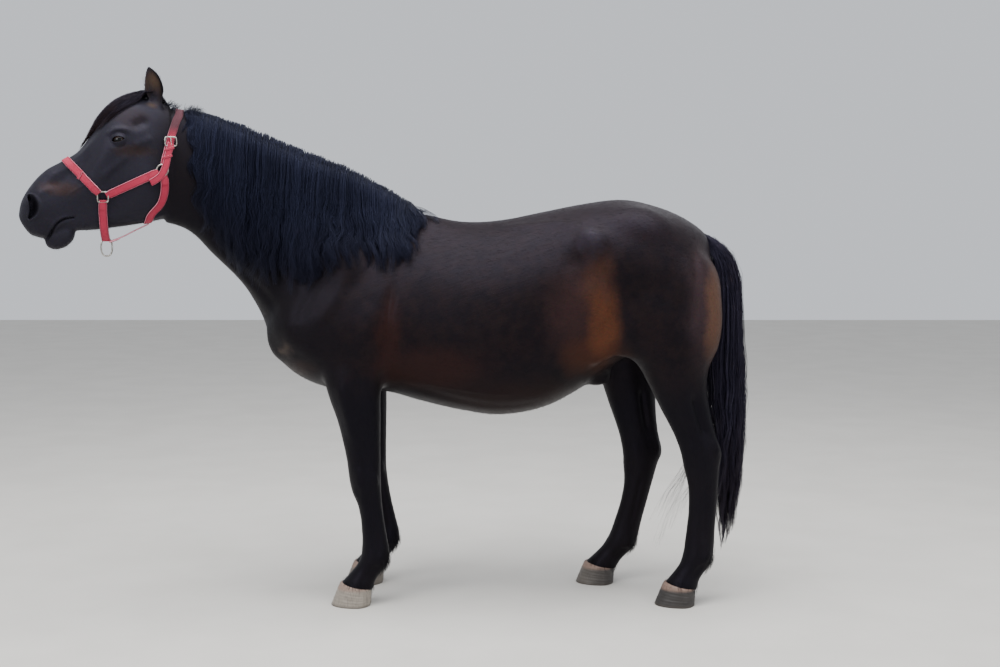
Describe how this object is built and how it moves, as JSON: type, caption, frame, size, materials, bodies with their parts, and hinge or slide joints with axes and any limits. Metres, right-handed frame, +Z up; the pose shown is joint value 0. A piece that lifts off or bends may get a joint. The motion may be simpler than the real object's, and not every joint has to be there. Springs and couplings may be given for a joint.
{
  "type": "standing pony",
  "caption": "Life-size stocky dark bay pony in a webbing headcollar, standing square on its hooves with its head turned a little to its left; thick mane and a long full tail.",
  "frame": {"origin": "on the floor, under the middle of the box round the whole animal", "axes": "+X from the head to the tail, +Y to the pony's right, +Z up"},
  "size_m": [2.2536, 0.5948, 1.686],
  "materials": {
    "coat": "short glossy dark bay hair that lies flat, rusty brown at the flank, buttock, elbow and muzzle",
    "long_hair": "long black hair in locks with a blue-grey sheen",
    "hoof_horn": "matt weathered hoof horn, cream to dark grey",
    "eye": "wet dark brown eye",
    "webbing": "red to pink woven nylon webbing with rows of stitching, lined with black",
    "steel": "dull plated steel wire"
  },
  "bodies": {
    "root": {"ear_left": "coat", "ear_right": "coat", "eye_left": "eye", "eye_right": "eye", "forelock": "long_hair", "front_hoof_left": "hoof_horn", "front_hoof_right": "hoof_horn", "front_leg_left": "coat", "front_leg_right": "coat", "head": "coat", "headcollar_buckle": "steel", "headcollar_cheek_strap_left": "webbing", "headcollar_cheek_strap_right": "webbing", "headcollar_chin_ring": "steel", "headcollar_crown_strap": "webbing", "headcollar_jaw_strap": "webbing", "headcollar_link_strap": "webbing", "headcollar_nose_ring_left": "steel", "headcollar_nose_ring_right": "steel", "headcollar_noseband": "webbing", "headcollar_side_ring_left": "steel", "headcollar_side_ring_right": "steel", "headcollar_throat_strap": "webbing", "hind_hoof_left": "hoof_horn", "hind_hoof_right": "hoof_horn", "hind_leg_left": "coat", "hind_leg_right": "coat", "mane": "long_hair", "neck": "coat", "tail": "long_hair", "trunk": "coat"}
  },
  "joints": []
}
